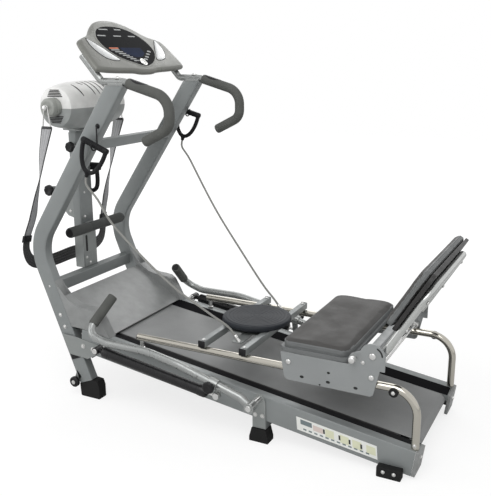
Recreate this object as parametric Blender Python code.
"""Non-motorized treadmill with a bench, rowing arms, a twister disc and a massage unit.

Metres, +Z up. +Y is the walking direction, towards the console, and +X is the user's right.
The pieces are laid out on a floor at Z = 0 and moved together at the end, so that the origin
lies on the floor under the middle of the whole machine.
"""

import math

import bmesh
import bpy
from mathutils import Matrix, Vector

for old in list(bpy.data.objects):
    bpy.data.objects.remove(old, do_unlink=True)

# Clearances
GAP = 0.0003
RUN = 0.0003

# Deck: a frame tilted up towards the front. "s" runs along it and "h" stands square to it.
DECK_ANGLE = math.radians(8.03)
DECK_TOP_Z = 0.1935
RAIL_REAR = -0.698
RAIL_FRONT = 0.565
RAIL_OUTER = 0.265
RAIL_FLAT = 0.030
RAIL_SLOPE_WIDTH = 0.052
RAIL_DROP = 0.013
RAIL_HEIGHT = 0.085
RAIL_WALL = 0.002
RAIL_LIP = 0.015
LEDGE_WIDTH = 0.018
CAP_THICK = 0.012
BELT_SINK = 0.010
BELT_THICK = 0.0018
BELT_SIDE_GAP = 0.006
BOARD_THICK = 0.015
BOARD_SIDE_GAP = 0.0015
ROLLER_R = 0.0215
ROLLER_SIDE_GAP = 0.003
AXLE_R = 0.006
REAR_ROLLER_S = -0.669
FRONT_ROLLER_S = 0.515
BOSS_R = 0.012
REAR_FOOT_Y = -0.6185
REAR_FOOT_LENGTH = 0.077
REAR_FOOT_WIDTH = 0.028

# Uprights
UPRIGHT_X = RAIL_OUTER - 0.023
TUBE_WIDTH = 0.040
TUBE_DEPTH = 0.062
TUBE_WALL = 0.002
UPRIGHT_FOOT_Y = 0.5608
UPRIGHT_FOOT_Z = 0.062
UPRIGHT_KINK_Y = 0.7634
UPRIGHT_KINK_Z = 0.5666
UPRIGHT_TOP_Y = 0.3633
UPRIGHT_TOP_Z = 1.1527
UPRIGHT_BEND_R = 0.16
LOW_BAR_YZ = (0.575, 0.162)
LOW_BAR_SIZE = 0.040
LOWER_BAR_YZ = (0.710, 0.409)
LOWER_BAR_SIZE = (0.040, 0.042)
MID_BAR_YZ = (0.485, 0.9515)
MID_BAR_SIZE = (0.036, 0.033)
BAR_WALL = 0.003
FOOT_LENGTH = 0.088
WHEEL_YZ = (0.605, 0.057)
WHEEL_R = 0.020
WHEEL_WIDTH = 0.016
PIN_R = 0.006

# Handle bars, in the plane of each upright
BAR_R = 0.0125
BAR_WALL_T = 0.0015
BAR_STRAIGHT_Z = UPRIGHT_TOP_Z + BAR_R + GAP
FOAM_R = 0.0175
HANDLE_END_Y = 0.261
HANDLE_END_Z = 0.973
HANDLE_REAR_Y = 0.163
FOAM_CLEAR = 0.006

# Pull handles, hung on hooks beside the uprights: centre of the grip and its tilt, left and right
PULL_X = UPRIGHT_X + 0.0445
PULL_YZ = {-1: (0.434, 0.958), 1: (0.418, 1.031)}
PULL_TILT = {-1: math.radians(21.8), 1: math.radians(15.4)}
PULL_ROOT_Z = {-1: 1.020, 1: 1.064}
PULL_HALF = 0.056
PULL_GRIP_R = 0.0105
PULL_LOOP_R = 0.0070
PULL_DEPTH = 0.100
HOOK_R = 0.0025
FERRULE_R = 0.0070
FERRULE_LENGTH = 0.010
ROPE_R = 0.0045

# Massage unit on its post
POST_Y = LOWER_BAR_YZ[0] + 0.032
POST_WIDTH = 0.076
POST_DEPTH = 0.040
POST_WALL = 0.0025
POST_TOP_Z = 0.965
MOUNT_WALL = 0.002
MOUNT_BOTTOM_Z = POST_TOP_Z - 0.345
MASSAGER_Y = POST_Y - 0.037
MASSAGER_Z = POST_TOP_Z + 0.105
MASSAGER_R = 0.088
MASSAGER_HALF = 0.162
MASSAGER_TAPER = 0.245
SHELL_WALL = 0.003
SPLIT_Z = MASSAGER_Z - 0.005
HUB_R = 0.034
HUB_LENGTH = 0.044
HUB_PIN_R = 0.005
STRAP_WIDTH = 0.042
STRAP_THICK = 0.004
LEG_ROLLER_YZ = (POST_Y - 0.062, 0.602)
LEG_ROLLER_R = 0.020
LEG_ROLLER_END = 0.160
KNOB_R = 0.020

# Bench on the deck
BENCH_X = RAIL_OUTER - 0.020
BENCH_R = 0.0125
BENCH_WALL = 0.0015
BENCH_Z = 0.280
BENCH_FRONT_Y = 0.320
BENCH_REAR_Y = -0.684
BENCH_BEND_R = 0.080
CROSS_SIZE = 0.025
CROSS_WALL = 0.0015
CROSS_Y = (0.050, -0.105)
CROSS_HALF = BENCH_X + 0.015
TWIST_Y = -0.030
TWIST_R = 0.125
TWIST_TOP_Z = 0.339
TWIST_PIN_R = 0.010
ANCHOR_X = 0.176
CARRIAGE_INNER = BENCH_X + 0.0135
CARRIAGE_THICK = 0.004
CARRIAGE_TOP_Z = 0.337
CARRIAGE_AXLE_Y = (-0.271, -0.544)
CARRIAGE_WHEEL_R = 0.0132
SEAT_FRONT_Y = -0.235
SEAT_REAR_Y = -0.475
SEAT_HALF = BENCH_X + 0.017
SEAT_BOARD_THICK = 0.008
SEAT_THICK = 0.033
BACK_HINGE_YZ = (-0.545, 0.375)
BACK_LEAN = math.radians(31.0)
BACK_PIN_YZ = (-0.488, 0.362)
BACK_PLATE_R = 0.040
BACK_TUBE_X = BENCH_X - 0.007
BACK_TUBE_V = 0.020
BACK_TOP_U = 0.275
BACK_BEND_R = 0.060
BACK_BOARD_THICK = 0.012
BACK_PAD_THICK = 0.029
BACK_PAD_LOW_U = 0.095
BACK_PAD_HIGH_U = 0.320

# Rowing arms and their hydraulic cylinders
ARM_X = RAIL_OUTER + 0.070
ARM_R = 0.0135
ARM_PIVOT_YZ = (-0.172, 0.158)
GRIP_R = 0.0180
GRIP_LENGTH = 0.125
CYLINDER_X = ARM_X - 0.003
CYLINDER_FRONT_YZ = (0.436, 0.240)
CYLINDER_EYE_YZ = (-0.045, 0.167)
CYLINDER_R = 0.0195
CYLINDER_ROD_R = 0.005
CLAMP_YZ = (-0.038, 0.2118)
ARM_KNOB_R = 0.0205
STABILIZER_Y = -0.170
STABILIZER_WIDTH = 0.050
STABILIZER_BOTTOM_Z = 0.050

# Console panel, standing at 45 degrees above the handle bars
PANEL_YZ = (0.416, 1.195)
PANEL_ANGLE = math.radians(45.0)
PANEL_FRONT = 0.010
PANEL_BACK = 0.0083
PANEL_BULGE = 0.040
PANEL_HALF = UPRIGHT_X + 0.026


def unit(vector):
    return Vector(vector).normalized()


def deck(s, h, x=0.0):
    """A point of the deck frame: s along it, h square to its top line."""
    along = Vector((0.0, math.cos(DECK_ANGLE), math.sin(DECK_ANGLE)))
    square = Vector((0.0, -math.sin(DECK_ANGLE), math.cos(DECK_ANGLE)))
    return Vector((x, 0.0, DECK_TOP_Z)) + along * s + square * h


def deck_top_z(y):
    """Height of the rails' top line above the floor at this Y."""
    return DECK_TOP_Z + y * math.tan(DECK_ANGLE)


def yz(x, point):
    return Vector((x, point[0], point[1]))


# Mesh building


def mesh_object(name, bm):
    bmesh.ops.remove_doubles(bm, verts=bm.verts, dist=1e-7)
    bmesh.ops.recalc_face_normals(bm, faces=bm.faces)
    mesh = bpy.data.meshes.new(name)
    bm.to_mesh(mesh)
    bm.free()
    obj = bpy.data.objects.new(name, mesh)
    bpy.context.scene.collection.objects.link(obj)
    return obj


def skin(rings, closed=False):
    """A closed body through rings of as many points each, capped at its ends unless closed."""
    bm = bmesh.new()
    loops = [[bm.verts.new(point) for point in ring] for ring in rings]
    count = len(loops[0])
    pairs = list(zip(loops, loops[1:]))
    if closed:
        pairs.append((loops[-1], loops[0]))
    for first, second in pairs:
        for i in range(count):
            j = (i + 1) % count
            bm.faces.new((first[i], first[j], second[j], second[i]))
    if not closed:
        bm.faces.new(loops[0])
        bm.faces.new(loops[-1])
    return mesh_object("shape", bm)


def prism(outline, place, start, end):
    """The outline's (a, b) points mapped by place(a, b, c) at c = start and c = end."""
    return skin([[place(a, b, c) for a, b in outline] for c in (start, end)])


def along_x(outline, x0, x1):
    """A prism whose outline is given as (Y, Z)."""
    return prism(outline, lambda a, b, c: Vector((c, a, b)), x0, x1)


def box(x0, x1, y0, y1, z0, z1):
    return along_x([(y0, z0), (y1, z0), (y1, z1), (y0, z1)], x0, x1)


def deck_box(x0, x1, s0, s1, h0, h1):
    outline = [(s0, h0), (s1, h0), (s1, h1), (s0, h1)]
    return prism(outline, lambda a, b, c: deck(a, b, c), x0, x1)


def across(axis):
    """Two unit vectors square to the axis and to each other."""
    helper = Vector((0, 0, 1)) if abs(axis.z) < 0.9 else Vector((0, 1, 0))
    side = axis.cross(helper).normalized()
    return side, side.cross(axis).normalized()


def turned(profile, start, axis, sides=18):
    """A closed turned body: (radius, distance along the axis) points that end on the axis."""
    axis = unit(axis)
    side, up = across(axis)
    bm = bmesh.new()
    rings = []
    for radius, distance in profile:
        centre = Vector(start) + axis * distance
        if radius == 0.0:
            rings.append([bm.verts.new(centre)])
            continue
        angles = [2 * math.pi * i / sides for i in range(sides)]
        rings.append(
            [
                bm.verts.new(centre + (side * math.cos(t) + up * math.sin(t)) * radius)
                for t in angles
            ]
        )
    for first, second in zip(rings, rings[1:]):
        for i in range(sides):
            j = (i + 1) % sides
            if len(first) == 1:
                bm.faces.new((first[0], second[i], second[j]))
            elif len(second) == 1:
                bm.faces.new((first[i], first[j], second[0]))
            else:
                bm.faces.new((first[i], first[j], second[j], second[i]))
    return mesh_object("turned", bm)


def rod(start, end, radius, sides=14):
    start = Vector(start)
    span = Vector(end) - start
    profile = [(0.0, 0.0), (radius, 0.0), (radius, span.length), (0.0, span.length)]
    return turned(profile, start, span, sides)


def stepped(start, axis, steps, sides=14):
    """A solid pin of several diameters: (radius, distance where that radius ends) pairs."""
    profile = [(0.0, 0.0)]
    before = 0.0
    for radius, distance in steps:
        profile += [(radius, before), (radius, distance)]
        before = distance
    profile.append((0.0, before))
    return turned(profile, start, axis, sides)


def ring_body(start, end, radius, bore, sides=16):
    """A straight sleeve: a turned body with a bore right through."""
    start = Vector(start)
    span = Vector(end) - start
    axis = span.normalized()
    side, up = across(axis)
    corners = [(bore, 0.0), (radius, 0.0), (radius, span.length), (bore, span.length)]
    rings = []
    for i in range(sides):
        t = 2 * math.pi * i / sides
        out = side * math.cos(t) + up * math.sin(t)
        rings.append([start + out * r + axis * d for r, d in corners])
    return skin(rings, closed=True)


def rounded(points, radius, steps=6):
    """The route with each inner corner replaced by an arc; radius is one value or one a corner."""
    points = [Vector(p) for p in points]
    radii = radius if isinstance(radius, (list, tuple)) else [radius] * (len(points) - 2)
    route = [points[0]]
    for before, corner, after, r in zip(points, points[1:], points[2:], radii):
        first = (before - corner).normalized()
        second = (after - corner).normalized()
        half = first.angle(second) / 2
        if r <= 0.0 or half > math.pi / 2 - 1e-4:
            route.append(corner)
            continue
        centre = corner + (first + second).normalized() * (r / math.sin(half))
        begin = corner + first * (r / math.tan(half)) - centre
        finish = corner + second * (r / math.tan(half)) - centre
        turn = begin.angle(finish)
        for i in range(steps + 1):
            a = math.sin(turn * (1 - i / steps)) / math.sin(turn)
            b = math.sin(turn * i / steps) / math.sin(turn)
            route.append(centre + begin * a + finish * b)
    route.append(points[-1])
    return route


def length_of(route):
    return sum((b - a).length for a, b in zip(route, route[1:]))


def stretch_of(route, start, end):
    """The part of the route between two distances along it."""
    part = []
    run = 0.0
    for a, b in zip(route, route[1:]):
        step = (b - a).length
        for distance in (start, end):
            if run <= distance < run + step:
                part.append((distance, a + (b - a) * ((distance - run) / step)))
        if start < run + step < end:
            part.append((run + step, b.copy()))
        run += step
    part.sort(key=lambda item: item[0])
    return [point for _, point in part]


def circle(radius, sides=14):
    angles = [2 * math.pi * i / sides for i in range(sides)]
    return [(radius * math.cos(t), radius * math.sin(t)) for t in angles]


def rectangle(width, depth, corner, steps=2):
    """A rounded rectangle about the origin."""
    outline = []
    for sx, sy, first in ((1, 1, 0), (-1, 1, 1), (-1, -1, 2), (1, -1, 3)):
        cx = sx * (width / 2 - corner)
        cy = sy * (depth / 2 - corner)
        for i in range(steps + 1):
            t = math.pi / 2 * (first + i / steps)
            outline.append((cx + corner * math.cos(t), cy + corner * math.sin(t)))
    return outline


def sweep(route, outline, side=(1, 0, 0), bore=None, ends=(None, None), closed=False):
    """The outline carried along the route with mitred bends, hollow when a bore outline is given.

    The outline's first coordinate lies along side, and its second square to side and route.
    """
    route = [Vector(p) for p in route]
    legs = [(b - a).normalized() for a, b in zip(route, route[1:])]
    if closed:
        legs.append((route[0] - route[-1]).normalized())
    outer, inner = [], []
    side = Vector(side)
    side = (side - legs[0] * side.dot(legs[0])).normalized()
    before = legs[-1] if closed else legs[0]
    if closed:
        side = before.rotation_difference(legs[0]).inverted() @ side
    for i, point in enumerate(route):
        after = legs[i] if i < len(legs) else legs[-1]
        up = side.cross(before)
        cut = (before + after).normalized()
        if i == 0 and ends[0] is not None:
            cut = unit(ends[0])
        if i == len(route) - 1 and ends[1] is not None:
            cut = unit(ends[1])
        for target, shape in ((outer, outline), (inner, bore or [])):
            ring = []
            for a, b in shape:
                offset = side * a + up * b
                ring.append(point + offset - before * (offset.dot(cut) / before.dot(cut)))
            target.append(ring)
        side = before.rotation_difference(after) @ side
        before = after
    if not bore:
        return skin(outer, closed)
    bm = bmesh.new()
    count = len(outline)
    outer_loops = [[bm.verts.new(p) for p in ring] for ring in outer]
    inner_loops = [[bm.verts.new(p) for p in ring] for ring in inner]
    for loops in (outer_loops, inner_loops):
        for first, second in zip(loops, loops[1:]):
            for i in range(count):
                j = (i + 1) % count
                bm.faces.new((first[i], first[j], second[j], second[i]))
    for a, b in ((outer_loops[0], inner_loops[0]), (outer_loops[-1], inner_loops[-1])):
        for i in range(count):
            j = (i + 1) % count
            bm.faces.new((a[i], a[j], b[j], b[i]))
    return mesh_object("sweep", bm)


def sleeve_wall(outer, core, sides):
    """Wall of a sleeve with this many sides that clears a core of the given radius."""
    return outer - (core + GAP) / math.cos(math.pi / sides)


def pipe(route, radius, wall=None, sides=14, **options):
    bore = circle(radius - wall, sides) if wall else None
    return sweep(route, circle(radius, sides), bore=bore, **options)


def combined(body, joined=(), cut=()):
    """The body with other shapes joined to it and others cut from it."""
    for operation, tools in (("UNION", joined), ("DIFFERENCE", cut)):
        for tool in tools:
            modifier = body.modifiers.new("shape", "BOOLEAN")
            modifier.operation = operation
            modifier.solver = "EXACT"
            modifier.object = tool
    graph = bpy.context.evaluated_depsgraph_get()
    mesh = bpy.data.meshes.new_from_object(body.evaluated_get(graph))
    body.modifiers.clear()
    body.data = mesh
    for tool in (*joined, *cut):
        bpy.data.objects.remove(tool, do_unlink=True)
    return body


ORIGINS = {}


def finish(obj, name, colour, roughness, metallic=0.0, parent=None, origin=(0, 0, 0)):
    """Names the piece, gives it its material and puts its origin where it turns or slides."""
    origin = Vector(origin)
    obj.name = name
    obj.data.name = name
    obj.data.transform(Matrix.Translation(-origin))
    obj.data.shade_smooth()
    obj.data.set_sharp_from_angle(angle=math.radians(32))
    material = bpy.data.materials.new(name)
    material.use_nodes = True
    shader = material.node_tree.nodes["Principled BSDF"]
    shader.inputs["Base Color"].default_value = (*colour, 1.0)
    shader.inputs["Roughness"].default_value = roughness
    shader.inputs["Metallic"].default_value = metallic
    material.diffuse_color = (*colour, 1.0)
    obj.data.materials.clear()
    obj.data.materials.append(material)
    obj.parent = parent or ROOT
    obj.location = origin - ORIGINS.get(obj.parent.name, Vector())
    ORIGINS[name] = origin
    return obj


ROOT = bpy.data.objects.new("treadmill", None)
bpy.context.scene.collection.objects.link(ROOT)

FRAME_GREY = (0.36, 0.37, 0.37)
LIGHT_GREY = (0.50, 0.51, 0.51)
BLACK = (0.02, 0.02, 0.02)
CHROME = (0.75, 0.76, 0.77)
PAD_GREY = (0.09, 0.085, 0.08)
SIDES = ((-1, "L"), (1, "R"))

# Derived sizes of the deck
RAIL_SLOPE_X = RAIL_OUTER - RAIL_FLAT
RAIL_INNER = RAIL_SLOPE_X - RAIL_SLOPE_WIDTH
BELT_HALF = RAIL_INNER - BELT_SIDE_GAP
BOARD_HALF = RAIL_INNER - BOARD_SIDE_GAP
ROLLER_HALF = RAIL_INNER - ROLLER_SIDE_GAP
BOARD_TOP_H = -(BELT_SINK + BELT_THICK + GAP)
ROLLER_H = BOARD_TOP_H - ROLLER_R
LEDGE_TOP_H = BOARD_TOP_H - BOARD_THICK - GAP
BOSS_START = ROLLER_HALF + 0.0105
AXLE_REACH = BOSS_START + 0.010
END_CLEAR = ROLLER_R + 0.0235

# Upright route and the points that hang on it
FOOT = Vector((0, UPRIGHT_FOOT_Y, UPRIGHT_FOOT_Z))
KINK = Vector((0, UPRIGHT_KINK_Y, UPRIGHT_KINK_Z))
TOP = Vector((0, UPRIGHT_TOP_Y, UPRIGHT_TOP_Z))
LOW_LEG = (KINK - FOOT).normalized()
HIGH_LEG = (TOP - KINK).normalized()
UPRIGHT_OUT = UPRIGHT_X + TUBE_WIDTH / 2
UPRIGHT_IN = UPRIGHT_X - TUBE_WIDTH / 2


def on_low_leg(z, off=0.0):
    """(Y, Z) on the lower leg's middle line at this height, off towards the front."""
    t = (z - FOOT.z) / LOW_LEG.z
    return (FOOT.y + LOW_LEG.y * t + off / LOW_LEG.z, z)


def channel(centre, size, wall, x0, x1):
    """A bar with a U section, open below."""
    y0, y1 = centre[0] - size[0] / 2, centre[0] + size[0] / 2
    z0, z1 = centre[1] - size[1] / 2, centre[1] + size[1] / 2
    outline = [
        (y0, z0),
        (y0, z1),
        (y1, z1),
        (y1, z0),
        (y1 - wall, z0),
        (y1 - wall, z1 - wall),
        (y0 + wall, z1 - wall),
        (y0 + wall, z0),
    ]
    return along_x(outline, x0, x1)


def pull_axes(k):
    """Grip direction and hanging direction of a pull handle."""
    tilt = PULL_TILT[k]
    grip = Vector((0, -math.cos(tilt), -math.sin(tilt)))
    down = Vector((0, math.sin(tilt), -math.cos(tilt)))
    return grip, down


def handle_route(k):
    """The handle bar from behind the console, over the upright, round to its free end."""
    x = k * UPRIGHT_X
    corners = [
        (x, 0.500, BAR_STRAIGHT_Z + 0.0845),
        (x, 0.425, BAR_STRAIGHT_Z),
        (x, 0.335, BAR_STRAIGHT_Z),
        (x, HANDLE_REAR_Y, BAR_STRAIGHT_Z - 0.0485),
        (x, HANDLE_REAR_Y, HANDLE_END_Z + 0.049),
        (x, HANDLE_END_Y, HANDLE_END_Z),
    ]
    return rounded(corners, [0.022, 0.06, 0.062, 0.044], steps=3)


# Uprights with their cross bars, brackets, hooks and handle bars: one welded piece
pieces = []
for k, _ in SIDES:
    x = k * UPRIGHT_X
    corners = [FOOT + Vector((x, 0, 0)), KINK + Vector((x, 0, 0)), TOP + Vector((x, 0, 0))]
    leg = sweep(
        rounded(corners, UPRIGHT_BEND_R, steps=4),
        rectangle(TUBE_WIDTH, TUBE_DEPTH, 0.006, 1),
        bore=rectangle(TUBE_WIDTH - 2 * TUBE_WALL, TUBE_DEPTH - 2 * TUBE_WALL, 0.004, 1),
        ends=(None, (0, 0, 1)),
    )
    pieces.append(leg)
    top_half = TUBE_DEPTH / 2 / HIGH_LEG.z - 0.0005
    pieces.append(
        box(
            x - TUBE_WIDTH / 2 + 0.0007,
            x + TUBE_WIDTH / 2 - 0.0007,
            UPRIGHT_TOP_Y - top_half,
            UPRIGHT_TOP_Y + top_half,
            UPRIGHT_TOP_Z - 0.004,
            UPRIGHT_TOP_Z - 0.0005,
        )
    )
    # The handle bar stands on a saddle on top of the upright
    pieces.append(pipe(handle_route(k), BAR_R, BAR_WALL_T, sides=10))
    pieces.append(
        box(
            x - 0.008,
            x + 0.008,
            UPRIGHT_TOP_Y - 0.030,
            UPRIGHT_TOP_Y + 0.030,
            UPRIGHT_TOP_Z - 0.002,
            BAR_STRAIGHT_Z - BAR_R + 0.0035,
        )
    )
    # Front bracket, bolted outside the rail
    plate = [
        (0.491, 0.186),
        (0.486, 0.224),
        (0.600, 0.240),
        (on_low_leg(0.240, 0.018)[0], 0.240),
        (on_low_leg(0.165, 0.018)[0], 0.165),
        (0.539, 0.160),
    ]
    outer_face = RAIL_OUTER + GAP
    pieces.append(along_x(plate, k * outer_face, k * (outer_face + 0.003)))
    spacer = [
        on_low_leg(0.170, -0.024),
        on_low_leg(0.235, -0.024),
        on_low_leg(0.235, 0.014),
        on_low_leg(0.170, 0.014),
    ]
    pieces.append(along_x(spacer, k * (UPRIGHT_OUT - 0.001), k * (outer_face + 0.001)))
    # Lug and pin of the transport wheel
    wy, wz = WHEEL_YZ
    lug = [
        (wy - 0.026, wz + 0.022),
        (wy - 0.006, wz + 0.046),
        (wy + 0.010, wz + 0.004),
        (wy + 0.004, wz - 0.011),
        (wy - 0.009, wz - 0.006),
    ]
    pieces.append(along_x(lug, k * (UPRIGHT_OUT - 0.005), k * UPRIGHT_OUT))
    hub = UPRIGHT_OUT + 0.0015
    wheel_end = hub + WHEEL_WIDTH + GAP
    root = UPRIGHT_OUT - 0.003
    steps = [(0.004, wheel_end - root), (0.008, wheel_end + 0.0025 - root)]
    pieces.append(stepped(yz(k * root, WHEEL_YZ), (k, 0, 0), steps))
    # Hook that holds the pull handle under its grip
    py, pz = PULL_YZ[k]
    cradle = PULL_GRIP_R / math.cos(PULL_TILT[k]) + GAP + 2 * HOOK_R
    hook_y = py + 0.003
    hook = [(k * (UPRIGHT_OUT - 0.001), hook_y, PULL_ROOT_Z[k])]
    hook.append((k * (PULL_X - cradle), hook_y, PULL_ROOT_Z[k]))
    hook.append((k * (PULL_X - cradle), hook_y, pz))
    for i in range(1, 9):
        t = math.pi * i / 8
        hook.append(
            (k * (PULL_X - cradle * math.cos(t)), hook_y, pz - cradle * math.sin(t))
        )
    hook.append((k * (PULL_X + cradle + 0.002), hook_y, pz + 0.010))
    pieces.append(pipe(hook, HOOK_R, sides=6, side=(0, 1, 0)))
bar_end = UPRIGHT_IN + TUBE_WALL / 2
for centre, size in (
    (LOW_BAR_YZ, (LOW_BAR_SIZE, LOW_BAR_SIZE)),
    (LOWER_BAR_YZ, LOWER_BAR_SIZE),
    (MID_BAR_YZ, MID_BAR_SIZE),
):
    pieces.append(channel(centre, size, BAR_WALL, -bar_end, bar_end))
frame = combined(pieces[0], pieces[1:])
finish(frame, "upright_frame", FRAME_GREY, 0.42, 0.3)

for k, side_name in SIDES:
    # Front foot: a boot under the cut end of the upright
    rear = FOOT + Vector((0, -LOW_LEG.z, LOW_LEG.y)) * (TUBE_DEPTH / 2) - LOW_LEG * GAP
    front = FOOT - Vector((0, -LOW_LEG.z, LOW_LEG.y)) * (TUBE_DEPTH / 2) - LOW_LEG * GAP
    toe = front.y - 0.003
    heel = toe - FOOT_LENGTH
    boot = [
        (heel + 0.003, 0.0),
        (toe - 0.004, 0.0),
        (toe, 0.004),
        (front.y, front.z),
        (rear.y, rear.z),
        (rear.y - 0.026, rear.z - 0.002),
        (heel, 0.050),
        (heel, 0.003),
    ]
    foot = along_x(boot, k * UPRIGHT_IN, k * UPRIGHT_OUT)
    finish(foot, f"front_foot_{side_name}", BLACK, 0.7)
    # Transport wheel, clear of the floor until the machine is tipped forward
    hub = UPRIGHT_OUT + 0.0015
    wheel = ring_body(
        yz(k * hub, WHEEL_YZ), yz(k * (hub + WHEEL_WIDTH), WHEEL_YZ), WHEEL_R, 0.004 + RUN, 16
    )
    finish(wheel, f"transport_wheel_{side_name}", LIGHT_GREY, 0.5, origin=yz(k * hub, WHEEL_YZ))


# Side rails of the deck
def rail_outline(k):
    drop = RAIL_DROP * (1 - RAIL_WALL / RAIL_SLOPE_WIDTH) + RAIL_WALL * 1.03
    foot_h = LEDGE_TOP_H - RAIL_WALL - 0.004
    points = [
        (RAIL_OUTER - RAIL_LIP, -RAIL_HEIGHT),
        (RAIL_OUTER, -RAIL_HEIGHT),
        (RAIL_OUTER, -0.003),
        (RAIL_OUTER - 0.003, 0.0),
        (RAIL_SLOPE_X, 0.0),
        (RAIL_INNER, -RAIL_DROP),
        (RAIL_INNER, foot_h),
        (RAIL_INNER + RAIL_WALL, foot_h),
        (RAIL_INNER + RAIL_WALL, -drop),
        (RAIL_SLOPE_X, -RAIL_WALL),
        (RAIL_OUTER - RAIL_WALL - 0.002, -RAIL_WALL),
        (RAIL_OUTER - RAIL_WALL, -RAIL_WALL - 0.002),
        (RAIL_OUTER - RAIL_WALL, -RAIL_HEIGHT + RAIL_WALL),
        (RAIL_OUTER - RAIL_LIP, -RAIL_HEIGHT + RAIL_WALL),
    ]
    return [(k * x, h) for x, h in points]


for k, side_name in SIDES:
    rail = prism(rail_outline(k), lambda a, b, c: deck(c, b, a), RAIL_REAR, RAIL_FRONT)
    joined = []
    slots = []
    ledge_in = k * (RAIL_INNER - LEDGE_WIDTH)
    ledge_out = k * (RAIL_INNER + RAIL_WALL / 2)
    joined.append(
        deck_box(
            ledge_in,
            ledge_out,
            REAR_ROLLER_S + END_CLEAR,
            FRONT_ROLLER_S - END_CLEAR,
            LEDGE_TOP_H - RAIL_WALL,
            LEDGE_TOP_H,
        )
    )
    for s in (REAR_ROLLER_S, FRONT_ROLLER_S):
        depth = AXLE_REACH + GAP - BOSS_START
        length = RAIL_OUTER - RAIL_WALL / 2 - BOSS_START
        profile = [
            (0.0, depth),
            (AXLE_R + RUN, depth),
            (AXLE_R + RUN, 0.0),
            (BOSS_R, 0.0),
            (BOSS_R, length),
            (0.0, length),
        ]
        joined.append(turned(profile, deck(s, ROLLER_H, k * BOSS_START), (k, 0, 0), 16))
        slot_in = deck(s, ROLLER_H, k * (RAIL_INNER - 0.002))
        slot_out = deck(s, ROLLER_H, k * (RAIL_INNER + RAIL_WALL + 0.002))
        slots.append(rod(slot_in, slot_out, AXLE_R + 0.004))
    # Pin that carries the front eye of the hydraulic cylinder
    boss_end = CYLINDER_X - 0.0175 - GAP
    pin_end = CYLINDER_X + 0.0175 + GAP
    at = CYLINDER_FRONT_YZ
    root = RAIL_OUTER - RAIL_WALL / 2
    steps = [(0.011, boss_end - root), (PIN_R, pin_end - root), (0.010, pin_end + 0.003 - root)]
    joined.append(stepped(yz(k * root, at), (k, 0, 0), steps))
    combined(rail, joined, slots)
    finish(rail, f"side_rail_{side_name}", FRAME_GREY, 0.42, 0.3)
    # Plastic cap with the belt tension bolt
    outline = [
        (k * RAIL_INNER, -RAIL_HEIGHT),
        (k * RAIL_OUTER, -RAIL_HEIGHT),
        (k * RAIL_OUTER, -0.003),
        (k * (RAIL_OUTER - 0.003), 0.0),
        (k * RAIL_SLOPE_X, 0.0),
        (k * RAIL_INNER, -RAIL_DROP),
    ]
    cap_end = RAIL_REAR - GAP - CAP_THICK
    cap = prism(outline, lambda a, b, c: deck(c, b, a), cap_end, RAIL_REAR - GAP)
    bolt_x = k * (RAIL_OUTER + RAIL_INNER) / 2
    bolt_root = deck(cap_end + 0.002, ROLLER_H, bolt_x)
    bolt = rod(bolt_root, deck(cap_end - 0.005, ROLLER_H, bolt_x), 0.006, 6)
    combined(cap, [bolt])
    finish(cap, f"rail_end_cap_{side_name}", BLACK, 0.55)
    # Rubber foot beside the rail's rear end
    foot_x0 = k * (RAIL_OUTER + GAP)
    rear_edge = REAR_FOOT_Y - REAR_FOOT_LENGTH / 2
    front_edge = REAR_FOOT_Y + REAR_FOOT_LENGTH / 2
    outline = [
        (rear_edge + 0.002, 0.0),
        (front_edge - 0.002, 0.0),
        (front_edge, 0.003),
        (front_edge, 0.034),
        (rear_edge, 0.034),
        (rear_edge, 0.003),
    ]
    rubber = along_x(outline, foot_x0, k * (RAIL_OUTER + REAR_FOOT_WIDTH))
    finish(rubber, f"rear_foot_{side_name}", BLACK, 0.75)

# Running belt round the two rollers
LOOP_R = ROLLER_R + GAP


def loop_outline(radius):
    points = []
    for centre, first in ((FRONT_ROLLER_S, -90), (REAR_ROLLER_S, 90)):
        for i in range(13):
            t = math.radians(first + 15 * i)
            points.append((centre + radius * math.cos(t), ROLLER_H + radius * math.sin(t)))
    return points


outer = loop_outline(LOOP_R + BELT_THICK)
inner = loop_outline(LOOP_R)
rings = []
for (a, b), (c, d) in zip(outer, inner):
    rings.append(
        [
            deck(a, b, -BELT_HALF),
            deck(a, b, BELT_HALF),
            deck(c, d, BELT_HALF),
            deck(c, d, -BELT_HALF),
        ]
    )
belt = skin(rings, closed=True)
finish(belt, "running_belt", (0.08, 0.08, 0.085), 0.75)

board = deck_box(
    -BOARD_HALF,
    BOARD_HALF,
    REAR_ROLLER_S + END_CLEAR - 0.006,
    FRONT_ROLLER_S - END_CLEAR + 0.006,
    BOARD_TOP_H - BOARD_THICK,
    BOARD_TOP_H,
)
finish(board, "deck_board", BLACK, 0.6)

for s, name in ((FRONT_ROLLER_S, "front_roller"), (REAR_ROLLER_S, "rear_roller")):
    profile = [
        (0.0, -AXLE_REACH),
        (AXLE_R, -AXLE_REACH),
        (AXLE_R, -ROLLER_HALF),
        (ROLLER_R, -ROLLER_HALF),
        (ROLLER_R, ROLLER_HALF),
        (AXLE_R, ROLLER_HALF),
        (AXLE_R, AXLE_REACH),
        (0.0, AXLE_REACH),
    ]
    centre = deck(s, ROLLER_H)
    roller = turned(profile, centre, (1, 0, 0), 18)
    finish(roller, name, (0.05, 0.05, 0.05), 0.4, 0.6, origin=centre)

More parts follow.
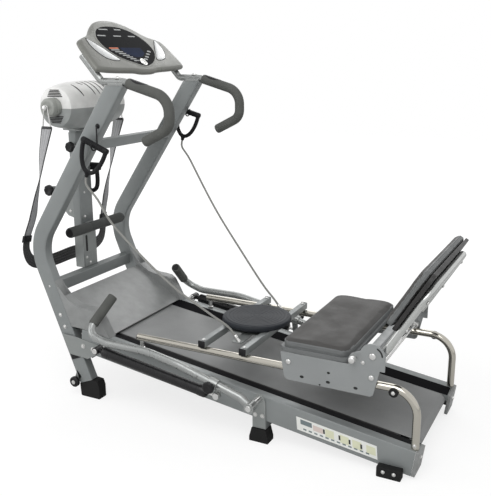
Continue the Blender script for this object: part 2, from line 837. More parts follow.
# Front cover: a bent panel between two hollow cheeks, open below
cheek_in = UPRIGHT_IN + 0.0005
cheek_out = UPRIGHT_OUT - 0.0005
COVER_WALL = 0.0025
COVER_REAR = (0.448, 0.258)
COVER_FRONT = (0.657, 0.381)
leg_clear = -(TUBE_DEPTH / 2 + 0.001)
base_rear = deck_top_z(0.438) + 0.0006
cheek = [
    (0.438, base_rear),
    (0.468, 0.312),
    (0.484, 0.338),
    (0.502, 0.350),
    (0.530, 0.3535),
    (0.562, 0.355),
    (0.596, 0.364),
    (0.630, 0.384),
    (0.656, 0.412),
    on_low_leg(0.442, leg_clear),
    on_low_leg(0.274, leg_clear),
    (0.560, deck_top_z(0.560) + 0.0006),
]
hollow = [
    (0.4415, base_rear - 0.02),
    (0.4705, 0.3105),
    (0.4860, 0.3358),
    (0.5035, 0.3475),
    (0.530, 0.3510),
    (0.562, 0.3525),
    (0.595, 0.3615),
    (0.628, 0.3815),
    (0.653, 0.4095),
    (on_low_leg(0.438, leg_clear)[0] - 0.0027, 0.438),
    (on_low_leg(0.280, leg_clear)[0] - 0.0027, 0.280),
    (0.560, 0.240),
]
pieces = []
cuts = []
for k, _ in SIDES:
    pieces.append(along_x(cheek, k * cheek_in, k * cheek_out))
    cuts.append(along_x(hollow, k * (cheek_in + COVER_WALL), k * (cheek_out - COVER_WALL)))
ry, rz = COVER_REAR
fy, fz = COVER_FRONT
apron = on_low_leg(0.235, leg_clear)
panel = [
    (ry, rz - COVER_WALL),
    (ry, rz),
    (fy, fz),
    (apron[0] + 0.004, apron[1]),
    (apron[0] + 0.001, apron[1]),
    (fy - 0.004, fz - 0.0045),
    (ry + 0.003, rz - COVER_WALL),
]
panel = along_x(panel, -(cheek_in + 0.001), cheek_in + 0.001)
cover = combined(panel, pieces, cuts)
finish(cover, "front_cover", (0.33, 0.34, 0.345), 0.38, 0.2)

# Mid stabiliser: a channel under the deck with the brackets that carry the rowing arms
stab_y0 = STABILIZER_Y - STABILIZER_WIDTH / 2
stab_y1 = STABILIZER_Y + STABILIZER_WIDTH / 2
rail_low = deck_top_z(stab_y0) - RAIL_HEIGHT / math.cos(DECK_ANGLE)
stab_top = rail_low - GAP
stab_mid = (stab_top + STABILIZER_BOTTOM_Z) / 2
plate_in = RAIL_OUTER + 0.0005
plate_out = plate_in + 0.004
stabilizer = channel(
    (STABILIZER_Y, stab_mid),
    (STABILIZER_WIDTH, stab_top - STABILIZER_BOTTOM_Z),
    BAR_WALL,
    -(plate_in + 0.002),
    plate_in + 0.002,
)
ay, az = ARM_PIVOT_YZ
arm_eye = 0.0155
pieces = []
for k, _ in SIDES:
    plate = [
        (stab_y0 + 0.001, STABILIZER_BOTTOM_Z + 0.001),
        (stab_y1 - 0.001, STABILIZER_BOTTOM_Z + 0.001),
        (stab_y1 - 0.001, az - 0.010),
        (ay + 0.014, az + 0.010),
        (ay, az + 0.016),
        (ay - 0.014, az + 0.010),
        (stab_y0 + 0.001, az - 0.010),
    ]
    pieces.append(along_x(plate, k * plate_in, k * plate_out))
    boss_end = ARM_X - arm_eye - GAP
    pin_end = ARM_X + arm_eye + GAP
    at = ARM_PIVOT_YZ
    root = plate_out - 0.001
    steps = [(0.011, boss_end - root), (PIN_R, pin_end - root), (0.010, pin_end + 0.003 - root)]
    pieces.append(stepped(yz(k * root, at), (k, 0, 0), steps))
combined(stabilizer, pieces)
finish(stabilizer, "mid_stabilizer", FRAME_GREY, 0.42, 0.3)
for k, side_name in SIDES:
    foot = along_x(
        [
            (stab_y0 - 0.010, 0.0),
            (stab_y1 + 0.010, 0.0),
            (stab_y1 + 0.010, 0.016),
            (stab_y1 + 0.001, STABILIZER_BOTTOM_Z - GAP),
            (stab_y0 - 0.001, STABILIZER_BOTTOM_Z - GAP),
            (stab_y0 - 0.010, 0.016),
        ],
        k * (RAIL_OUTER - 0.037),
        k * (RAIL_OUTER + 0.009),
    )
    finish(foot, f"mid_foot_{side_name}", BLACK, 0.75)

# Post of the massage unit, with its foot channel, its gusset and the leg roller rod
lower_top = LOWER_BAR_YZ[1] + LOWER_BAR_SIZE[1] / 2
post_bottom = lower_top + GAP
post_rear = POST_Y - POST_DEPTH / 2
post_front = POST_Y + POST_DEPTH / 2
post_route = [(0, POST_Y, post_bottom), (0, POST_Y, POST_TOP_Z)]
post = sweep(
    post_route,
    rectangle(POST_WIDTH, POST_DEPTH, 0.004),
    bore=rectangle(POST_WIDTH - 2 * POST_WALL, POST_DEPTH - 2 * POST_WALL, 0.002),
)
half = POST_WIDTH / 2
flange = half + 0.003
u_shape = [
    (-flange, POST_Y + 0.018),
    (-flange, post_rear - 0.004),
    (flange, post_rear - 0.004),
    (flange, POST_Y + 0.018),
    (half - 0.001, POST_Y + 0.018),
    (half - 0.001, post_rear + 0.001),
    (-half + 0.001, post_rear + 0.001),
    (-half + 0.001, POST_Y + 0.018),
]
shoe_top = LEG_ROLLER_YZ[1] - 0.022
shoe = prism(u_shape, lambda a, b, c: Vector((a, b, c)), post_bottom, shoe_top)
GUSSET_KNOB_YZ = (POST_Y + 0.117, 0.735)
gy, gz = GUSSET_KNOB_YZ
gusset = along_x(
    [
        (post_front - 0.001, gz - 0.107),
        (post_front + 0.030, gz - 0.099),
        (gy + 0.008, gz - 0.014),
        (gy + 0.012, gz + 0.002),
        (gy + 0.002, gz + 0.013),
        (gy - 0.018, gz + 0.014),
        (post_front - 0.001, gz + 0.055),
    ],
    -0.032,
    -0.028,
)
HEIGHT_KNOB_YZ = (POST_Y - 0.007, POST_TOP_Z - 0.052)
boss = rod(yz(-half + 0.001, HEIGHT_KNOB_YZ), yz(-half - 0.006, HEIGHT_KNOB_YZ), 0.010)
gusset_boss = rod(yz(-0.031, GUSSET_KNOB_YZ), yz(-0.040, GUSSET_KNOB_YZ), 0.009)
ly, lz = LEG_ROLLER_YZ
bracket = box(-0.020, 0.020, ly - 0.010, post_rear + 0.001, lz - 0.011, lz + 0.011)
rod_end = LEG_ROLLER_END + 0.003
steps = [(0.012, 0.0027), (PIN_R, 2 * rod_end - 0.0027), (0.012, 2 * rod_end)]
leg_rod = stepped((-rod_end, ly, lz), (1, 0, 0), steps)
combined(post, [shoe, gusset, boss, gusset_boss, bracket, leg_rod])
finish(post, "massager_post", FRAME_GREY, 0.42, 0.3)


def knob(start, axis, radius, length):
    """A round plastic knob with a collar towards the piece that it clamps."""
    profile = [
        (0.0, 0.0),
        (radius * 0.45, 0.0),
        (radius * 0.45, length * 0.22),
        (radius * 0.88, length * 0.30),
        (radius, length * 0.42),
        (radius, length * 0.82),
        (radius * 0.86, length),
        (0.0, length),
    ]
    return turned(profile, start, axis, 12)


start = yz(-half - 0.006 - GAP, HEIGHT_KNOB_YZ)
finish(knob(start, (-1, 0, 0), KNOB_R, 0.026), "height_knob", BLACK, 0.45, origin=start)
start = yz(-0.040 - GAP, GUSSET_KNOB_YZ)
finish(knob(start, (-1, 0, 0), KNOB_R + 0.002, 0.026), "gusset_knob", BLACK, 0.45, origin=start)
for k, side_name in SIDES:
    start = Vector((k * (0.020 + GAP + 0.024), ly, lz))
    end = Vector((k * LEG_ROLLER_END, ly, lz))
    foam = ring_body(start, end, LEG_ROLLER_R, PIN_R + RUN, 16)
    finish(foam, f"leg_roller_{side_name}", (0.13, 0.13, 0.13), 0.85, origin=start)

# Sliding tube of the massage unit, inside the post
inner_w = POST_WIDTH - 2 * POST_WALL - 2 * RUN
inner_d = POST_DEPTH - 2 * POST_WALL - 2 * RUN
saddle_z = MASSAGER_Z - MASSAGER_R - 0.001
mount = sweep(
    [(0, POST_Y, MOUNT_BOTTOM_Z), (0, POST_Y, saddle_z - 0.003)],
    rectangle(inner_w, inner_d, 0.002),
    bore=rectangle(inner_w - 2 * MOUNT_WALL, inner_d - 2 * MOUNT_WALL, 0.001),
)
saddle = box(-0.055, 0.055, MASSAGER_Y - 0.020, POST_Y + 0.028, saddle_z - 0.006, saddle_z)
combined(mount, [saddle])
massager = finish(mount, "massager_mount", FRAME_GREY, 0.42, 0.3)


def ovoid(radius, half_length, sides=20, stations=8):
    """The tapered barrel of the massage unit, turned about X."""
    profile = [(0.0, -half_length)]
    for i in range(stations + 1):
        x = half_length * math.sin(math.pi / 2 * (2 * i / stations - 1))
        profile.append((radius * (1 - (abs(x) / MASSAGER_TAPER) ** 2.6) ** 0.5, x))
    profile.append((0.0, half_length))
    return turned(profile, (0, MASSAGER_Y, MASSAGER_Z), (1, 0, 0), sides)


def hub_bores():
    return [
        rod(
            (k * (MASSAGER_HALF - 0.012), MASSAGER_Y, MASSAGER_Z),
            (k * (MASSAGER_HALF + 0.01), MASSAGER_Y, MASSAGER_Z),
            0.008 + RUN,
        )
        for k in (-1, 1)
    ]


lower = combined(
    ovoid(MASSAGER_R, MASSAGER_HALF),
    [box(-0.050, 0.050, MASSAGER_Y - 0.018, POST_Y + 0.025, saddle_z + GAP, MASSAGER_Z - 0.03)],
    [box(-0.4, 0.4, 0.3, 1.2, SPLIT_Z - GAP / 2, 1.4), *hub_bores()],
)
finish(lower, "massager_shell_lower", (0.42, 0.43, 0.43), 0.4, parent=massager)
upper = combined(
    ovoid(MASSAGER_R, MASSAGER_HALF),
    [],
    [
        box(-0.4, 0.4, 0.3, 1.2, 0.8, SPLIT_Z + GAP / 2),
        ovoid(MASSAGER_R - SHELL_WALL, MASSAGER_HALF - SHELL_WALL),
        *hub_bores(),
    ],
)
finish(upper, "massager_shell_upper", (0.82, 0.82, 0.82), 0.35, parent=massager)
for k, side_name in SIDES:
    start = Vector((k * (MASSAGER_HALF - 0.0115), MASSAGER_Y, MASSAGER_Z))
    face = 0.0115 + GAP
    profile = [
        (0.0, 0.0),
        (0.008, 0.0),
        (0.008, face),
        (HUB_R, face),
        (HUB_R, face + HUB_LENGTH - 0.006),
        (HUB_R - 0.005, face + HUB_LENGTH),
        (HUB_PIN_R, face + HUB_LENGTH),
        (HUB_PIN_R, face + HUB_LENGTH + 0.012),
        (HUB_PIN_R + 0.004, face + HUB_LENGTH + 0.012),
        (HUB_PIN_R + 0.004, face + HUB_LENGTH + 0.015),
        (0.0, face + HUB_LENGTH + 0.015),
    ]
    hub = turned(profile, start, (k, 0, 0), 14)
    finish(hub, f"massage_hub_{side_name}", (0.50, 0.51, 0.50), 0.4, parent=massager, origin=start)

# Massage belt: a flat strap hung from two wire triangles, turned a quarter on its way down
HUB_OUT = MASSAGER_HALF + GAP + HUB_LENGTH
HANG_X = HUB_OUT + 0.006
WIRE_R = 0.0022
hem = Vector((HANG_X, MASSAGER_Y + 0.001, MASSAGER_Z - 0.070))
strap_points = [
    (-HANG_X, 0.001, -0.072),
    (-HANG_X, 0.033, -0.175),
    (-HANG_X, 0.052, -0.255),
    (-HANG_X - 0.002, 0.077, -0.335),
    (-HANG_X - 0.006, 0.096, -0.410),
    (-HANG_X - 0.014, 0.125, -0.485),
    (-HANG_X - 0.010, 0.132, -0.540),
    (-HANG_X + 0.0243, 0.129, -0.578),
    (-HANG_X + 0.1123, 0.121, -0.596),
    (0.0, 0.117, -0.600),
]
strap_points = [(x, MASSAGER_Y + y, MASSAGER_Z + z) for x, y, z in strap_points]
strap_points += [(-x, y, z) for x, y, z in reversed(strap_points[:-1])]


def smooth(points, per_span, start=None, end=None):
    """Points of a smooth curve through the given ones."""
    points = [Vector(p) for p in points]
    tangents = []
    for i in range(len(points)):
        a = points[max(i - 1, 0)]
        b = points[min(i + 1, len(points) - 1)]
        tangents.append((b - a) / 2 if 0 < i < len(points) - 1 else (b - a))
    if start is not None:
        tangents[0] = unit(start) * (points[1] - points[0]).length
    if end is not None:
        tangents[-1] = unit(end) * (points[-1] - points[-2]).length
    route = []
    for i in range(len(points) - 1):
        p, q, m, n = points[i], points[i + 1], tangents[i], tangents[i + 1]
        for j in range(per_span):
            t = j / per_span
            route.append(
                p * (2 * t**3 - 3 * t**2 + 1)
                + m * (t**3 - 2 * t**2 + t)
                + q * (3 * t**2 - 2 * t**3)
                + n * (t**3 - t**2)
            )
    route.append(points[-1])
    return route


strap_route = smooth(strap_points, 2)
rings = []
count = len(strap_route)
for i, point in enumerate(strap_route):
    ahead = strap_route[min(i + 1, count - 1)] - strap_route[max(i - 1, 0)]
    ahead = Vector((ahead.x, 0, ahead.z)).normalized()
    flat = ahead.cross(Vector((0, 1, 0)))
    share = min(i, count - 1 - i) / (count - 1)
    turn = math.pi / 2 * max(0.0, 1.0 - share / 0.21)
    sign = 1 if i < count / 2 else -1
    wide = flat * math.cos(turn) + Vector((0, sign, 0)) * math.sin(turn)
    thin = wide.cross(ahead)
    a, b = wide * (STRAP_WIDTH / 2), thin * (STRAP_THICK / 2)
    rings.append([point + a + b, point - a + b, point - a - b, point + a - b])
strap = skin(rings)
pieces = []
for k in (-1, 1):
    x = k * HANG_X
    low = hem.z
    hem_half = STRAP_WIDTH / 2 + 0.001
    pieces.append(rod((x, hem.y - hem_half, low), (x, hem.y + hem_half, low), 0.005, 10))
    reach = HUB_PIN_R + WIRE_R + 2 * GAP
    apex_z = MASSAGER_Z + reach
    wire = [
        (x, hem.y - STRAP_WIDTH / 2 + 0.003, low),
        (x, MASSAGER_Y - reach, MASSAGER_Z),
        (x, MASSAGER_Y - reach * 0.7, MASSAGER_Z + reach * 0.7),
        (x, MASSAGER_Y, apex_z),
        (x, MASSAGER_Y + reach * 0.7, MASSAGER_Z + reach * 0.7),
        (x, MASSAGER_Y + reach * 1.1, MASSAGER_Z),
        (x, hem.y + STRAP_WIDTH / 2 - 0.003, low),
    ]
    pieces.append(sweep(wire, circle(WIRE_R, 6), closed=True))
combined(strap, pieces)
finish(strap, "massage_belt", (0.10, 0.10, 0.11), 0.6, parent=massager)

# Foam on the handle bars
for k, side_name in SIDES:
    route = handle_route(k)
    begin = 0.0
    foam_y = UPRIGHT_TOP_Y - TUBE_DEPTH / 2 / HIGH_LEG.z - FOAM_CLEAR
    for a, b in zip(route, route[1:]):
        if b.y < foam_y:
            begin += (a.y - foam_y) / (a.y - b.y) * (b - a).length
            break
        begin += (b - a).length
    foam_route = stretch_of(route, begin, length_of(route) - 1e-6)
    foam = pipe(foam_route, FOAM_R, sleeve_wall(FOAM_R, BAR_R, 10), sides=10)
    finish(foam, f"handle_foam_{side_name}", (0.16, 0.16, 0.155), 0.85)

# Pull handles: a round grip closed by a half-oval loop, with a ferrule for the rope
FERRULES = {}
for k, side_name in SIDES:
    centre = yz(k * PULL_X, PULL_YZ[k])
    grip, down = pull_axes(k)
    bar = rod(centre - grip * PULL_HALF, centre + grip * PULL_HALF, PULL_GRIP_R, 12)
    loop = []
    for i in range(13):
        t = math.pi * i / 12
        out = grip * (math.cos(t) * (PULL_HALF - PULL_LOOP_R - 0.0005))
        loop.append(centre + out + down * (math.sin(t) * PULL_DEPTH))
    bow = sweep(loop, circle(PULL_LOOP_R, 8))
    low = centre + down * PULL_DEPTH
    end = low + down * (PULL_LOOP_R + FERRULE_LENGTH)
    ferrule = rod(low, end, FERRULE_R, 12)
    combined(bar, [bow, ferrule])
    finish(bar, f"pull_handle_{side_name}", BLACK, 0.6)
    FERRULES[k] = end

# Bench rails, standing on the deck rails
for k, side_name in SIDES:
    x = k * BENCH_X
    foot_z = deck_top_z(BENCH_REAR_Y) + GAP / math.cos(DECK_ANGLE)
    square = (0, -math.sin(DECK_ANGLE), math.cos(DECK_ANGLE))
    route = rounded(
        [(x, BENCH_FRONT_Y, BENCH_Z), (x, BENCH_REAR_Y, BENCH_Z), (x, BENCH_REAR_Y, foot_z)],
        BENCH_BEND_R,
        steps=5,
    )
    rail = pipe(route, BENCH_R, BENCH_WALL, sides=12, ends=(None, square))
    stand_y = BENCH_FRONT_Y - 0.014
    low_z = deck_top_z(stand_y) + 0.0015
    stand = rod((x, stand_y, low_z), (x, stand_y, BENCH_Z - BENCH_R + 0.001), 0.007, 12)
    combined(rail, [stand])
    finish(rail, f"bench_rail_{side_name}", CHROME, 0.15, 1.0)

# Cross tubes on the bench rails, with the twister plate and the rope anchors
cross_z = BENCH_Z + BENCH_R + GAP + CROSS_SIZE / 2
plate_top = cross_z - 0.002
front_y, rear_y = CROSS_Y
pieces = []
for y in CROSS_Y:
    pieces.append(
        sweep(
            [(-CROSS_HALF, y, cross_z), (CROSS_HALF, y, cross_z)],
            rectangle(CROSS_SIZE, CROSS_SIZE, 0.002, 1),
            side=(0, 1, 0),
            bore=rectangle(CROSS_SIZE - 2 * CROSS_WALL, CROSS_SIZE - 2 * CROSS_WALL, 0.001, 1),
        )
    )
inner_front = front_y - CROSS_SIZE / 2 + 0.001
inner_rear = rear_y + CROSS_SIZE / 2 - 0.001
pieces.append(box(-0.100, 0.100, inner_rear, inner_front, plate_top - 0.004, plate_top))
pieces.append(box(-0.186, 0.186, -0.062, -0.022, plate_top - 0.0045, plate_top - 0.0005))
pin_top = TWIST_TOP_Z - 0.010
pieces.append(rod((0, TWIST_Y, plate_top - 0.002), (0, TWIST_Y, pin_top), TWIST_PIN_R))
ANCHORS = {}
ANCHOR_DIRECTION = Vector((0.0, -0.62, -0.78)).normalized()
for k in (-1, 1):
    top = Vector((k * ANCHOR_X, -0.033, 0.323))
    pieces.append(rod(top, top + ANCHOR_DIRECTION * 0.028, 0.0072, 12))
    ANCHORS[k] = top
mount = combined(pieces[0], pieces[1:])
finish(mount, "twister_mount", FRAME_GREY, 0.42, 0.3)

disc_low = cross_z + CROSS_SIZE / 2 + 0.001
skirt_low = plate_top + GAP
bore = TWIST_PIN_R + RUN
profile = [
    (0.0, TWIST_TOP_Z),
    (TWIST_R - 0.012, TWIST_TOP_Z),
    (TWIST_R - 0.010, TWIST_TOP_Z - 0.0015),
    (TWIST_R - 0.006, TWIST_TOP_Z - 0.0015),
    (TWIST_R - 0.003, TWIST_TOP_Z - 0.004),
    (TWIST_R, TWIST_TOP_Z - 0.006),
    (TWIST_R, disc_low + 0.003),
    (TWIST_R - 0.003, disc_low),
    (0.055, disc_low),
    (0.055, skirt_low),
    (bore, skirt_low),
    (bore, pin_top + 0.0005),
    (0.0, pin_top + 0.0005),
]
disc = turned(profile, (0, TWIST_Y, 0), (0, 0, 1), 20)
finish(disc, "twister_disc", (0.22, 0.25, 0.31), 0.45, origin=(0, TWIST_Y, TWIST_TOP_Z))

# Ropes from the pull handles down to the anchors
ROPE_MIDDLE = {
    -1: [(0.440, 0.770), (0.375, 0.668), (0.195, 0.491), (0.062, 0.398)],
    1: [(0.406, 0.838), (0.277, 0.656), (0.140, 0.498), (0.040, 0.389)],
}
for k, side_name in SIDES:
    grip, down = pull_axes(k)
    start = FERRULES[k] + down * GAP
    end = ANCHORS[k] - ANCHOR_DIRECTION * GAP
    route = [start]
    for y, z in ROPE_MIDDLE[k]:
        share = (start.y - y) / (start.y - end.y)
        route.append(Vector((start.x + (end.x - start.x) * share, y, z)))
    route.append(end)
    lead = 2 * ROPE_R
    inner = [start + down * lead, *route[1:-1], end - ANCHOR_DIRECTION * lead]
    route = [start, *smooth(inner, 4, start=down, end=ANCHOR_DIRECTION), end]
    curve = bpy.data.curves.new(f"rope_{side_name}", "CURVE")
    curve.dimensions = "3D"
    curve.bevel_depth = ROPE_R
    curve.bevel_resolution = 2
    curve.use_fill_caps = True
    spline = curve.splines.new("POLY")
    spline.points.add(len(route) - 1)
    for spot, point in zip(spline.points, route):
        spot.co = (*point, 1.0)
    rope = bpy.data.objects.new(f"rope_{side_name}", curve)
    bpy.context.scene.collection.objects.link(rope)
    material = bpy.data.materials.new(f"rope_{side_name}")
    material.use_nodes = True
    shader = material.node_tree.nodes["Principled BSDF"]
    shader.inputs["Base Color"].default_value = (0.45, 0.44, 0.43, 1.0)
    shader.inputs["Roughness"].default_value = 0.8
    curve.materials.append(material)
    rope.parent = ROOT
    print(rope.name, "length", round(length_of(route), 4))

# Seat carriage: two side plates, cross members and the seat board, on two roller axles
hy, hz = BACK_HINGE_YZ
plate_a = CARRIAGE_INNER
plate_b = CARRIAGE_INNER + CARRIAGE_THICK
front_axle, rear_axle = CARRIAGE_AXLE_Y
axle_z = BENCH_Z + BENCH_R + GAP + CARRIAGE_WHEEL_R
plate_low = BENCH_Z - 0.036
board_top = CARRIAGE_TOP_Z + SEAT_BOARD_THICK


def through_plate(k, point, radius, sides=14):
    return rod(yz(k * (plate_a - 0.01), point), yz(k * (plate_b + 0.01), point), radius, sides)


pieces = []
cuts = []
for k in (-1, 1):
    side_plate = [
        (rear_axle - 0.006, plate_low),
        (front_axle + 0.013, plate_low),
        (front_axle + 0.029, CARRIAGE_TOP_Z),
        (rear_axle - 0.026, CARRIAGE_TOP_Z),
    ]
    pieces.append(along_x(side_plate, k * plate_a, k * plate_b))
    disc_in = yz(k * plate_a, BACK_HINGE_YZ)
    pieces.append(rod(disc_in, yz(k * plate_b, BACK_HINGE_YZ), BACK_PLATE_R, 20))
    bracket = [
        (hy - BACK_PLATE_R + 0.0005, CARRIAGE_TOP_Z - 0.006),
        (BACK_PIN_YZ[0] + 0.017, CARRIAGE_TOP_Z - 0.006),
        (BACK_PIN_YZ[0] + 0.017, BACK_PIN_YZ[1]),
        (BACK_PIN_YZ[0] + 0.010, BACK_PIN_YZ[1] + 0.012),
        (hy + 0.020, hz + 0.020),
        (hy - BACK_PLATE_R + 0.0005, hz),
    ]
    pieces.append(along_x(bracket, k * (plate_a + 0.0002), k * (plate_b - 0.0002)))
    for y in CARRIAGE_AXLE_Y:
        cuts.append(through_plate(k, (y, axle_z), 0.005 + RUN))
    cuts.append(through_plate(k, BACK_HINGE_YZ, PIN_R + RUN))
cuts.append(through_plate(-1, BACK_PIN_YZ, 0.004 + RUN, 12))
member = plate_a + 0.001
board_front = SEAT_FRONT_Y - 0.006
board_rear = SEAT_REAR_Y + 0.006
for y in (-0.300, -0.440, -0.500):
    pieces.append(channel((y, CARRIAGE_TOP_Z - 0.0105), (0.030, 0.020), 0.003, -member, member))
board_half = SEAT_HALF - 0.010
board_low = CARRIAGE_TOP_Z - 0.001
board = box(-board_half, board_half, board_rear, board_front, board_low, board_top)
carriage = combined(board, pieces, cuts)
carriage = finish(carriage, "seat_carriage", LIGHT_GREY, 0.42, 0.3, origin=(0, 0, BENCH_Z))

for y, name in ((front_axle, "carriage_axle_front"), (rear_axle, "carriage_axle_rear")):
    half_axle = [
        (0.0, plate_b + 0.0045),
        (0.009, plate_b + 0.0045),
        (0.009, plate_b + GAP),
        (0.005, plate_b + GAP),
        (0.005, BENCH_X + 0.011),
        (CARRIAGE_WHEEL_R, BENCH_X + 0.011),
        (CARRIAGE_WHEEL_R, BENCH_X - 0.011),
        (0.005, BENCH_X - 0.011),
    ]
    profile = half_axle + [(r, -d) for r, d in reversed(half_axle)]
    axle = turned(profile, (0, y, axle_z), (1, 0, 0), 16)
    finish(axle, name, (0.4, 0.4, 0.4), 0.35, 0.8, parent=carriage, origin=(0, y, axle_z))


def cushion(half_w, half_l, thick, place, corner=0.030):
    """A padded cushion: drawn-in sides, rounded corners and a low crown on top."""
    levels = [
        (0.010, 0.0),
        (0.003, 0.10),
        (0.000, 0.30),
        (0.0015, 0.50),
        (0.0005, 0.68),
        (0.003, 0.82),
        (0.011, 0.92),
        (0.030, 0.965),
        (0.065, 0.99),
        (0.105, 1.0),
    ]
    rings = []
    for inset, share in levels:
        w, l = half_w - inset, half_l - inset
        r = max(corner - inset * 0.5, 0.012)
        outline = rectangle(2 * w, 2 * l, r, 3)
        rings.append([place(a, b, thick * share) for a, b in outline])
    return skin(rings)


seat_bottom = board_top + GAP
seat_middle = (SEAT_FRONT_Y + SEAT_REAR_Y) / 2
seat = cushion(
    SEAT_HALF,
    (SEAT_FRONT_Y - SEAT_REAR_Y) / 2,
    SEAT_THICK,
    lambda a, b, c: Vector((a, seat_middle + b, seat_bottom + c)),
)
finish(seat, "seat_pad", PAD_GREY, 0.6, parent=carriage)

# Pull pin beside the back hinge
pin_out = yz(-plate_b - GAP, BACK_PIN_YZ)
profile = [
    (0.0, -(CARRIAGE_THICK - 0.001)),
    (0.004, -(CARRIAGE_THICK - 0.001)),
    (0.004, 0.0),
    (0.008, 0.0),
    (0.008, 0.008),
    (0.004, 0.008),
    (0.004, 0.014),
    (0.011, 0.015),
    (0.011, 0.026),
    (0.008, 0.029),
    (0.0, 0.029),
]
pin = turned(profile, pin_out, (-1, 0, 0), 12)
finish(pin, "pull_pin", BLACK, 0.45, parent=carriage, origin=pin_out)

# Back rest: a U tube on two hinge plates, with a board and a pad, in its own leaning frame
LEAN_U = Vector((0, -math.sin(BACK_LEAN), math.cos(BACK_LEAN)))
LEAN_V = Vector((0, -math.cos(BACK_LEAN), -math.sin(BACK_LEAN)))
HINGE = yz(0, BACK_HINGE_YZ)


def back(x, u, v):
    return HINGE + Vector((x, 0, 0)) + LEAN_U * u + LEAN_V * v


bx = BACK_TUBE_X
route = rounded(
    [
        back(-bx, 0.004, BACK_TUBE_V),
        back(-bx, BACK_TOP_U, BACK_TUBE_V),
        back(bx, BACK_TOP_U, BACK_TUBE_V),
        back(bx, 0.004, BACK_TUBE_V),
    ],
    BACK_BEND_R,
    steps=3,
)
tube = pipe(route, BENCH_R, BENCH_WALL, sides=10, side=LEAN_V)
pieces = []
for k in (-1, 1):
    ear = [
        (-0.012, -0.010),
        (-0.012, 0.016),
        (0.004, 0.031),
        (0.030, 0.031),
        (0.030, 0.012),
        (0.010, -0.010),
    ]
    pieces.append(
        prism(ear, lambda a, b, c: back(c, a, b), k * (bx + BENCH_R - 0.003), k * (plate_a - 0.002))
    )
    root = plate_a - 0.003
    steps = [(PIN_R, plate_b + GAP - root), (0.011, plate_b + 0.004 - root)]
    pieces.append(stepped(back(k * root, 0, 0), (k, 0, 0), steps))
frame = combined(tube, pieces)
back_frame = finish(frame, "back_frame", CHROME, 0.15, 1.0, parent=carriage, origin=HINGE)
board_back = BACK_TUBE_V - BENCH_R - GAP
board_face = board_back - BACK_BOARD_THICK
board_wide = 2 * SEAT_HALF - 0.012
outline = [
    (a, b + (BACK_PAD_LOW_U + BACK_PAD_HIGH_U) / 2)
    for a, b in rectangle(board_wide, BACK_PAD_HIGH_U - BACK_PAD_LOW_U - 0.008, 0.028, 3)
]
board = prism(outline, lambda a, b, c: back(a, b, c), board_face, board_back)
finish(board, "back_board", BLACK, 0.55, parent=back_frame, origin=HINGE)
pad_middle = (BACK_PAD_LOW_U + BACK_PAD_HIGH_U) / 2
pad = cushion(
    SEAT_HALF,
    (BACK_PAD_HIGH_U - BACK_PAD_LOW_U) / 2,
    BACK_PAD_THICK,
    lambda a, b, c: back(a, pad_middle + b, board_face - GAP - c),
)
finish(pad, "back_pad", PAD_GREY, 0.6, parent=back_frame, origin=HINGE)

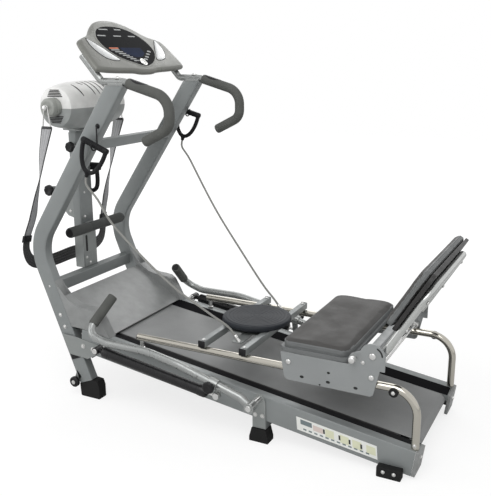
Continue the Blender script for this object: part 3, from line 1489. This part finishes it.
# Rowing arms
CLAMP_ALONG = Vector((0, 0.960, 0.280)).normalized()
for k, side_name in SIDES:
    x = k * ARM_X
    route = rounded(
        [
            (x, ay + 0.004, az + 0.004),
            (x, -0.135, 0.184),
            (x, 0.100, 0.2515),
            (x, 0.220, 0.2745),
            (x, 0.400, 0.2735),
            (x, 0.478, 0.297),
            (k * (ARM_X - 0.124), 0.451, 0.400),
        ],
        [0.05, 0.25, 0.30, 0.12, 0.045],
        steps=2,
    )
    total = length_of(route)
    tube = pipe(stretch_of(route, 0.0, total - 0.002), ARM_R, 0.002, sides=8)
    pivot = yz(x, ARM_PIVOT_YZ)
    eye_a = pivot - Vector((arm_eye, 0, 0))
    eye_b = pivot + Vector((arm_eye, 0, 0))
    eye = rod(eye_a, eye_b, 0.018, 12)
    clamp = yz(x, CLAMP_YZ)
    reach = CLAMP_ALONG * 0.016
    collar = ring_body(clamp - reach, clamp + reach, 0.0195, ARM_R - 0.001, 10)
    ey, ez = CYLINDER_EYE_YZ
    lug_out = CYLINDER_X - 0.0075 - 0.0006
    outline = [
        (ey - 0.011, ez - 0.004),
        (ey, ez - 0.011),
        (ey + 0.011, ez - 0.004),
        (ey + 0.016, ez + 0.038),
        (ey - 0.008, ez + 0.036),
    ]
    lug = along_x(outline, k * (lug_out - 0.005), k * lug_out)
    boss_root = clamp + Vector((k * (ARM_R + 0.001), 0, 0))
    boss = rod(boss_root, clamp + Vector((k * 0.0225, 0, 0)), 0.009, 10)
    bore = rod(pivot - Vector((0.05, 0, 0)), pivot + Vector((0.05, 0, 0)), PIN_R + RUN)
    combined(tube, [eye, collar, lug, boss], [bore])
    arm = finish(tube, f"row_arm_{side_name}", (0.42, 0.43, 0.43), 0.35, 0.4, origin=pivot)
    grip_route = stretch_of(route, total - GRIP_LENGTH, total - 1e-6)
    grip = pipe(grip_route, GRIP_R, sleeve_wall(GRIP_R, ARM_R, 10), sides=10)
    finish(grip, f"arm_grip_{side_name}", (0.15, 0.15, 0.145), 0.85, parent=arm)
    start = clamp + Vector((k * (0.0225 + GAP), 0, 0))
    turner = knob(start, (k, 0, 0), ARM_KNOB_R, 0.022)
    finish(turner, f"arm_knob_{side_name}", BLACK, 0.45, parent=arm, origin=start)
    # Hydraulic cylinder and its rod
    cyl_front = yz(k * CYLINDER_X, CYLINDER_FRONT_YZ)
    cyl_eye = yz(k * CYLINDER_X, CYLINDER_EYE_YZ)
    span = cyl_eye - cyl_front
    ahead = span.normalized()
    barrel_end = span.length - 0.034
    wide = Vector((0.0175, 0, 0))
    barrel = turned(
        [
            (0.0, 0.004),
            (0.010, 0.004),
            (0.010, 0.024),
            (CYLINDER_R - 0.003, 0.026),
            (CYLINDER_R, 0.030),
            (CYLINDER_R, barrel_end - 0.004),
            (CYLINDER_R - 0.004, barrel_end),
            (0.0, barrel_end),
        ],
        cyl_front,
        ahead,
        14,
    )
    front_eye = rod(cyl_front - wide, cyl_front + wide, 0.0135, 16)
    bore = rod(cyl_front - wide * 2, cyl_front + wide * 2, PIN_R + RUN)
    well_end = cyl_front + ahead * (span.length + 0.01)
    well = rod(cyl_front + ahead * 0.20, well_end, CYLINDER_ROD_R + RUN, 12)
    combined(barrel, [front_eye], [bore, well])
    cylinder = finish(barrel, f"cylinder_{side_name}", BLACK, 0.35, origin=cyl_front)
    piston = rod(cyl_front + ahead * 0.21, cyl_eye - ahead * 0.004, CYLINDER_ROD_R, 10)
    small = Vector((0.0075, 0, 0))
    rod_eye = rod(cyl_eye - small, cyl_eye + small, 0.011, 14)
    combined(piston, [rod_eye])
    finish(piston, f"cylinder_rod_{side_name}", CHROME, 0.15, 1.0, parent=cylinder, origin=cyl_eye)

# Console
PANEL_U = Vector((0, math.sin(PANEL_ANGLE), math.cos(PANEL_ANGLE)))
PANEL_N = Vector((0, -math.cos(PANEL_ANGLE), math.sin(PANEL_ANGLE)))
PANEL = yz(0, PANEL_YZ)


def panel(x, u, n):
    return PANEL + Vector((x, 0, 0)) + PANEL_U * u + PANEL_N * n


half_edge = [
    (0.0, -0.004),
    (PANEL_HALF - 0.148, -0.004),
    (PANEL_HALF - 0.068, 0.002),
    (PANEL_HALF - 0.006, 0.010),
    (PANEL_HALF, 0.018),
    (PANEL_HALF - 0.002, 0.050),
    (PANEL_HALF - 0.012, 0.120),
    (PANEL_HALF - 0.018, 0.138),
    (PANEL_HALF - 0.028, 0.145),
    (PANEL_HALF - 0.063, 0.158),
    (PANEL_HALF - 0.103, 0.176),
    (PANEL_HALF - 0.133, 0.200),
    (PANEL_HALF - 0.163, 0.222),
    (PANEL_HALF - 0.203, 0.240),
    (0.0, 0.247),
]
edge = half_edge + [(-x, u) for x, u in reversed(half_edge[1:-1])]
centre_u = 0.10


def inset(points, amount):
    across_share = 1 - amount / 0.26
    up_share = 1 - amount / 0.12
    return [(x * across_share, centre_u + (u - centre_u) * up_share) for x, u in points]


rings = [
    [panel(x, u, -PANEL_BACK) for x, u in inset(edge, 0.003)],
    [panel(x, u, -PANEL_BACK + 0.003) for x, u in edge],
    [panel(x, u, PANEL_FRONT - 0.005) for x, u in edge],
    [panel(x, u, PANEL_FRONT) for x, u in inset(edge, 0.006)],
]
console = skin(rings)
bulge = []
for depth, scale in ((0.0, 1.0), (0.5, 0.97), (0.85, 0.88), (1.0, 0.72)):
    outline = [
        (0.158 * scale * math.cos(2 * math.pi * i / 16), 0.090 * scale * math.sin(2 * math.pi * i / 16))
        for i in range(16)
    ]
    bulge.append([panel(a, 0.118 + b, -PANEL_BACK + 0.002 - PANEL_BULGE * depth) for a, b in outline])
BUTTON_XU = (0.012, 0.033)
bxx, bu = BUTTON_XU
hole_low = panel(bxx, bu, PANEL_FRONT - 0.006)
seat_hole = rod(hole_low, panel(bxx, bu, PANEL_FRONT + 0.01), 0.0095 + RUN, 16)
console = combined(console, [skin(bulge)], [seat_hole])
finish(console, "console", (0.50, 0.50, 0.48), 0.35, 0.3)
BUTTON_TRAVEL = 0.0025
button_foot = panel(bxx, bu, PANEL_FRONT - 0.006 + BUTTON_TRAVEL + GAP)
profile = [(0.0, 0.0), (0.0095, 0.0), (0.0095, 0.0055), (0.0080, 0.0065), (0.0, 0.0068)]
button = turned(profile, button_foot, PANEL_N, 16)
finish(button, "console_button", (0.55, 0.55, 0.55), 0.3, 0.5, origin=button_foot)

# The origin goes to the floor under the middle of the whole
bpy.context.view_layer.update()
graph = bpy.context.evaluated_depsgraph_get()
low = Vector((1e9, 1e9, 1e9))
high = -low
for obj in bpy.data.objects:
    if obj.type not in ("MESH", "CURVE"):
        continue
    evaluated = obj.evaluated_get(graph)
    mesh = evaluated.to_mesh()
    for vertex in mesh.vertices:
        spot = evaluated.matrix_world @ vertex.co
        low = Vector(map(min, low, spot))
        high = Vector(map(max, high, spot))
    evaluated.to_mesh_clear()
ROOT.location = (-(low.x + high.x) / 2, -(low.y + high.y) / 2, -low.z)
bpy.context.view_layer.update()
print("shift", [round(v, 6) for v in ROOT.location], "size", [round(v, 4) for v in high - low])
